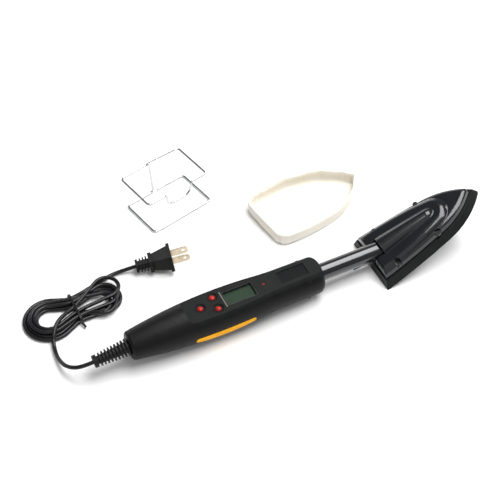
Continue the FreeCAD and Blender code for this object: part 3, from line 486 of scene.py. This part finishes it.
SHOE_AT = 236.8
SHOE_PITCH = math.radians(24.5)
COVER_REAR = 4.6
COVER_TIP = 110.9
COVER_REAR_HALF = 26.0
COVER_CORNERS = [
    (COVER_REAR, -COVER_REAR_HALF, 700.0), (68.5, -20.2, 73.0), (COVER_TIP, -1.6, 3.4),
    (COVER_TIP, 1.6, 73.0), (68.5, 20.2, 700.0), (COVER_REAR, COVER_REAR_HALF, None),
]
COVER_BASE = 8.0
SIDE_RISE = 5.1
SIDE_RUN = 1.3
SHOULDER_RISE = 2.4
SHOULDER = 5.5
# the raised pear: half-width at places along it, its rise and the width of its sloping side
PEAR_HALF = (
    (COVER_REAR, 19.5), (20.0, 19.2), (32.0, 18.3), (44.0, 16.9), (56.0, 15.2), (66.0, 13.1),
    (82.0, 9.26),
)
PEAR_TAPER = 0.24
PEAR_NOSE_AT = 72.5
PEAR_NOSE_RAD = 11.2
PEAR_RISE = 3.2
PEAR_SLOPE = 7.0
PEAR_RUN_IN = 3.0
# the cosines of the flanks' and the pear sides' lean, from a width across to a distance
FLANK_COSINE = 0.94
PEAR_COSINE = 0.972
BARREL_FROM = 17.0
BARREL_ROUND = 66.0
BARREL_TO = 75.0
BARREL_LEVEL = 15.4
BARREL_RAD = 10.4
BARREL_NOSE_RAD = 6.4
BARREL_WALL = 1.3
BARREL_FALL = 3.0
BARREL_BLEND = 1.6
BORE_LONG = 12.0
BORE_NARROWING = 0.6
MOUTH_LIP = 0.5
MOUTH_ROUND = 0.3
MOUTH_STEPS = 36
SLOT_HALF = 8.5
PITS = [(21.5, 22.0), (21.5, -22.0), (66.0, 19.6), (66.0, -19.6)]
PIT_RAD = 3.0
PIT_LEVEL = 11.0
COVER_LONG = 260
COVER_ACROSS = 132
COVER_WALL = 0.8


def on_shoe(u, v, h):
    return at(SHOE_AT + u * math.cos(SHOE_PITCH) - h * math.sin(SHOE_PITCH), v,
              u * math.sin(SHOE_PITCH) + h * math.cos(SHOE_PITCH))


def along_table(table, place):
    for (first, low), (second, high) in zip(table, table[1:]):
        if place <= second:
            return low + (high - low) * max(0.0, place - first) / (second - first)
    return table[-1][1]


def eased(share):
    share = min(1.0, max(0.0, share))
    return share * share * (3.0 - 2.0 * share)


def blend_max(first, second, width):
    share = max(0.0, width - abs(first - second)) / width
    return max(first, second) + share * share * width / 4.0


def cover_height(u, v, half):
    edge = min((half - abs(v)) * FLANK_COSINE, u - COVER_REAR, COVER_TIP - u)
    height = COVER_BASE + SIDE_RISE * min(1.0, max(0.0, edge / SIDE_RUN))
    share = min(1.0, max(0.0, (edge - SIDE_RUN * 0.5) / SHOULDER))
    height += SHOULDER_RISE * (1.0 - (1.0 - share) ** 2)
    if u - PEAR_NOSE_AT < PEAR_TAPER * abs(v):
        pear = (along_table(PEAR_HALF, u) - abs(v)) * PEAR_COSINE
    else:
        pear = PEAR_NOSE_RAD - math.hypot(u - PEAR_NOSE_AT, v)
    rise = min(1.0, max(0.0, pear / PEAR_SLOPE + 0.5))
    height += PEAR_RISE * (1.0 - (1.0 - rise) ** 2) * eased((u - COVER_REAR) / PEAR_RUN_IN)
    if u >= BARREL_FROM:
        if u < BARREL_ROUND:
            share = (u - BARREL_FROM) / (BARREL_ROUND - BARREL_FROM)
            radius = BARREL_RAD + (BARREL_NOSE_RAD - BARREL_RAD) * share
        else:
            share = min(1.0, (u - BARREL_ROUND) / (BARREL_TO - BARREL_ROUND))
            radius = BARREL_NOSE_RAD * math.sqrt(1.0 - share ** 2)
        if abs(v) < radius:
            barrel = BARREL_LEVEL + math.sqrt(radius ** 2 - v ** 2)
        else:
            barrel = BARREL_LEVEL - BARREL_FALL * (abs(v) - radius + max(0.0, u - BARREL_TO))
        height = blend_max(height, barrel, BARREL_BLEND)
    for pit_u, pit_v in PITS:
        if math.hypot(u - pit_u, v - pit_v) < PIT_RAD:
            height = min(height, PIT_LEVEL)
    return height


def make_cover():
    flank = sorted((place.x, place.y) for place in arc_outline(COVER_CORNERS)
                   if place.y > 0.0 and place.x > COVER_REAR + 0.01)
    flank.insert(0, (COVER_REAR, COVER_REAR_HALF))
    bm = bmesh.new()
    rows = []
    for i in range(COVER_LONG + 1):
        u = COVER_REAR + (COVER_TIP - COVER_REAR) * i / COVER_LONG
        half = along_table(flank, u)
        row = []
        for j in range(COVER_ACROSS + 1):
            v = half * (2.0 * j / COVER_ACROSS - 1.0)
            row.append((bm.verts.new(on_shoe(u, v, cover_height(u, v, half))), u, v))
        rows.append(row)
    for near, far in zip(rows, rows[1:]):
        for j in range(COVER_ACROSS):
            square = (near[j], far[j], far[j + 1], near[j + 1])
            if any(u < BARREL_FROM and abs(v) < SLOT_HALF for _, u, v in square):
                continue
            bm.faces.new([vert for vert, _, _ in square])
    # barrel's mouth: the cut edge of its wall and the bore behind it
    arch = []
    for step in range(MOUTH_STEPS + 1):
        angle = math.pi * step / MOUTH_STEPS
        arch.append([
            bm.verts.new(on_shoe(u, radius * math.cos(angle),
                                 BARREL_LEVEL + radius * math.sin(angle)))
            for u, radius in (
                (BARREL_FROM + MOUTH_LIP, BARREL_RAD),
                (BARREL_FROM, BARREL_RAD - MOUTH_ROUND),
                (BARREL_FROM, BARREL_RAD - BARREL_WALL),
                (BARREL_FROM + BORE_LONG, BARREL_RAD - BARREL_WALL - BORE_NARROWING),
            )
        ])
    for first, second in zip(arch, arch[1:]):
        for k in range(3):
            bm.faces.new((first[k], first[k + 1], second[k + 1], second[k]))
    bmesh.ops.delete(bm, geom=[vert for vert in bm.verts if not vert.link_faces], context="VERTS")
    mesh = bpy.data.meshes.new("shoe_cover_pressing")
    bm.to_mesh(mesh)
    bm.free()
    cover = link("shoe_cover_pressing", mesh, COVER)
    wall = cover.modifiers.new("wall", "SOLIDIFY")
    wall.thickness = COVER_WALL * MM
    wall.offset = -1.0
    smooth(cover, 50.0)
    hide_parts("shoe_cover")
    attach(cover, "iron")


make_cover()

# ---------------------------------------------------------------- cotton cover

SOCK_AT = (170.0, 86.0)
SOCK_TURN = math.radians(7.5)
SOCK_CENTRE = Vector((50.0, 0.0))
SOCK_HEIGHT = 13.0
# corners round the base, each with the radius of the arc to the next, or None for a straight
SOCK_CORNERS = [
    (0.0, -20.0, 12.5), (12.0, -31.0, 185.0), (66.0, -30.0, 70.0), (106.0, -3.0, 3.6),
    (106.0, 3.0, 70.0), (66.0, 30.0, 185.0), (12.0, 31.0, 12.5), (0.0, 20.0, None),
]
SOCK_STEPS = 300
# from the middle of the base to its edge, as shares of the way
SOCK_RINGS = (0.03, 0.12, 0.22, 0.33, 0.44, 0.55, 0.66, 0.76, 0.86, 0.94, 1.0)
# up the wall, over the rim and down the hem turned inside it, as (in from the outline, height)
SOCK_WALL = (
    (1.3, 0.75), (0.7, 1.5), (0.4, 2.7), (0.3, 4.2), (0.25, 5.8), (0.3, 7.4), (0.3, 8.6),
    (0.15, 9.6), (0.1, 11.0), (0.25, 12.3), (0.8, 13.0), (1.45, 12.6), (1.75, 11.4), (1.8, 10.2),
    (1.75, 9.2), (1.55, 8.7),
)
SOCK_EDGE_INSET = 2.3
# the cloth's thickness, in millimetres; the cover is cut in one piece, 17 mm larger than the base
# all round
CLOTH_THICK = 0.5
GATHER_PLACES = (Vector((104.0, 0.0)), Vector((4.0, -25.0)), Vector((4.0, 25.0)))
GATHER_REACH = 13.0
GATHER_DEPTH = 0.32
GATHER_FOLDS = 50.0
BASE_LEVEL = 0.4
BASE_SWELL = 1.1
BASE_FINE = 0.35
# noise in the cloth: its scale across and up, and how far it moves the wall out and up
RUMPLE_ACROSS = 0.045
RUMPLE_ALONG = 0.05
RUMPLE_OUT = 1.5
RUMPLE_UP = 1.3
CREASE_ACROSS = 0.16
CREASE_ALONG = 0.1
CREASE_OUT = 0.6
CREASE_UP = 0.5
CREASE_AT_FOOT = 0.25
RIM_LEAN = 0.3
SWELL_ACROSS = 0.05
FINE_ACROSS = 0.13
# separate places in the noise, so that the four fields differ
CREASE_FIELD = 7.0
SWELL_FIELD = 3.0
FINE_FIELD = 9.0


def sock_outline():
    """Evenly spaced places round the outline, each with its outward direction."""
    dense = arc_outline(SOCK_CORNERS)
    lengths = [(dense[(i + 1) % len(dense)] - dense[i]).length for i in range(len(dense))]
    total = sum(lengths)
    places = []
    side, walked = 0, 0.0
    for index in range(SOCK_STEPS):
        wanted = total * index / SOCK_STEPS
        while walked + lengths[side] < wanted:
            walked += lengths[side]
            side += 1
        share = (wanted - walked) / lengths[side]
        places.append(dense[side].lerp(dense[(side + 1) % len(dense)], share))
    facing = []
    for index in range(SOCK_STEPS):
        run = places[(index + 2) % SOCK_STEPS] - places[index - 2]
        facing.append(Vector((run.y, -run.x)).normalized())
    return places, facing


SOCK_PLACES, SOCK_FACING = sock_outline()


def sock_spot(index, inset, height):
    """A place on the wall, with the cloth's lean, gathers and uneven rim."""
    index %= SOCK_STEPS
    place, facing = SOCK_PLACES[index], SOCK_FACING[index]
    lift = height / SOCK_HEIGHT
    rumple = noise.noise(Vector((place.x * RUMPLE_ACROSS, place.y * RUMPLE_ACROSS,
                                 height * RUMPLE_ALONG)))
    crease = noise.noise(Vector((place.x * CREASE_ACROSS, place.y * CREASE_ACROSS,
                                 height * CREASE_ALONG + CREASE_FIELD)))
    corner = max(math.exp(-((place - spot).length / GATHER_REACH) ** 2)
                 for spot in GATHER_PLACES)
    gathers = math.sin(index * math.tau * GATHER_FOLDS / SOCK_STEPS)
    creasing = CREASE_AT_FOOT + (1.0 - CREASE_AT_FOOT) * lift
    out = lift * (RUMPLE_OUT * rumple + RIM_LEAN) + creasing * CREASE_OUT * crease
    out += corner * gathers * GATHER_DEPTH * math.sin(math.pi * min(1.0, lift))
    up = lift * (RUMPLE_UP * rumple + CREASE_UP * crease)
    x, y = place + facing * (out - inset)
    return turned(x, y, max(height + up, BASE_LEVEL))


def turned(x, y, z):
    return at(SOCK_AT[0] + x * math.cos(SOCK_TURN) - y * math.sin(SOCK_TURN),
              SOCK_AT[1] + x * math.sin(SOCK_TURN) + y * math.cos(SOCK_TURN), z)


def make_sock():
    bm = bmesh.new()
    rings = []
    for share in SOCK_RINGS:
        ring = []
        for place, facing in zip(SOCK_PLACES, SOCK_FACING):
            x, y = SOCK_CENTRE.lerp(place - facing * SOCK_EDGE_INSET, share)
            swell = noise.noise(Vector((x * SWELL_ACROSS, y * SWELL_ACROSS, SWELL_FIELD)))
            fine = noise.noise(Vector((x * FINE_ACROSS, y * FINE_ACROSS, FINE_FIELD)))
            rise = BASE_SWELL * max(0.0, swell) + BASE_FINE * max(0.0, fine)
            height = BASE_LEVEL + rise * (1.0 - share ** 6)
            ring.append(bm.verts.new(turned(x, y, height)))
        rings.append(ring)
    for inset, height in SOCK_WALL:
        rings.append([bm.verts.new(sock_spot(index, inset, height)) for index in range(SOCK_STEPS)])
    bm.faces.new(rings[0])
    for inner, outer in zip(rings, rings[1:]):
        for index in range(SOCK_STEPS):
            following = (index + 1) % SOCK_STEPS
            bm.faces.new((inner[index], outer[index], outer[following], inner[following]))
    bmesh.ops.recalc_face_normals(bm, faces=bm.faces)
    mesh = bpy.data.meshes.new("sock_cloth")
    bm.to_mesh(mesh)
    bm.free()
    cloth = link("sock_cloth", mesh, COTTON)
    thick = cloth.modifiers.new("cloth", "SOLIDIFY")
    thick.thickness = CLOTH_THICK * MM
    thick.offset = 0.0
    mesh.shade_smooth()
    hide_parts("cotton_sock")
    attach(cloth, "sock")
    return cloth


STITCH_EVERY = 3
STITCH_SPAN = 2
STITCH_AT = (-0.22, 9.15)
STITCH_RADIUS = 0.28


def make_stitches():
    """Running stitch that holds the hem."""
    bm = bmesh.new()
    for index in range(0, SOCK_STEPS, STITCH_EVERY):
        ends = [sock_spot(index + step, *STITCH_AT) for step in (0, STITCH_SPAN)]
        run = ends[1] - ends[0]
        shape = run.to_track_quat("X", "Z").to_matrix().to_4x4()
        shape.translation = (ends[0] + ends[1]) / 2.0
        stitch = bmesh.ops.create_icosphere(bm, subdivisions=1, radius=1.0)["verts"]
        for vert in stitch:
            vert.co = shape @ Vector((vert.co.x * run.length * 0.5,
                                      vert.co.y * STITCH_RADIUS * MM,
                                      vert.co.z * STITCH_RADIUS * MM))
    mesh = bpy.data.meshes.new("sock_stitches")
    bm.to_mesh(mesh)
    bm.free()
    mesh.shade_smooth()
    stitches = link("sock_stitches", mesh, THREAD)
    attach(stitches, "sock")
    return stitches


SOCK_PIECE = make_sock()
STITCHES = make_stitches()

# ---------------------------------------------------------------- lights and floor

FLOOR_HALF = 4.0
WORLD_STRENGTH = 0.24
# name, place, width, depth, power
LAMPS = (
    ("overhead", (0.3, -0.03, 1.25), 1.2, 0.7, 21.0),
    ("near_fill", (-0.5, -1.1, 1.1), 1.8, 1.4, 4.0),
    ("right", (1.2, 0.05, 0.75), 0.5, 0.4, 6.0),
    ("far_card", (-0.1, 1.4, 0.35), 2.0, 0.5, 4.0),
)


def make_stage():
    bm = bmesh.new()
    bmesh.ops.create_grid(bm, x_segments=1, y_segments=1, size=FLOOR_HALF)
    mesh = bpy.data.meshes.new("floor")
    bm.to_mesh(mesh)
    bm.free()
    floor = link("floor", mesh, surface("floor_paper", (0.9, 0.9, 0.9), 0.9, vary=0.01,
                                        vary_scale=3.0, Specular_IOR_Level=0.1))
    world = bpy.data.worlds.new("studio")
    bpy.context.scene.world = world
    world.use_nodes = True
    sky = world.node_tree.nodes["Background"]
    sky.inputs["Color"].default_value = (1.0, 1.0, 1.0, 1.0)
    sky.inputs["Strength"].default_value = WORLD_STRENGTH
    for name, place, wide, tall, power in LAMPS:
        data = bpy.data.lights.new(name, "AREA")
        data.shape = "RECTANGLE"
        data.size = wide
        data.size_y = tall
        data.energy = power
        lamp = bpy.data.objects.new(name, data)
        lamp.location = place
        lamp.rotation_mode = "QUATERNION"
        lamp.rotation_quaternion = (-Vector(place)).to_track_quat("-Z", "Y")
        bpy.context.scene.collection.objects.link(lamp)


make_stage()
bpy.context.scene.view_settings.view_transform = "Standard"
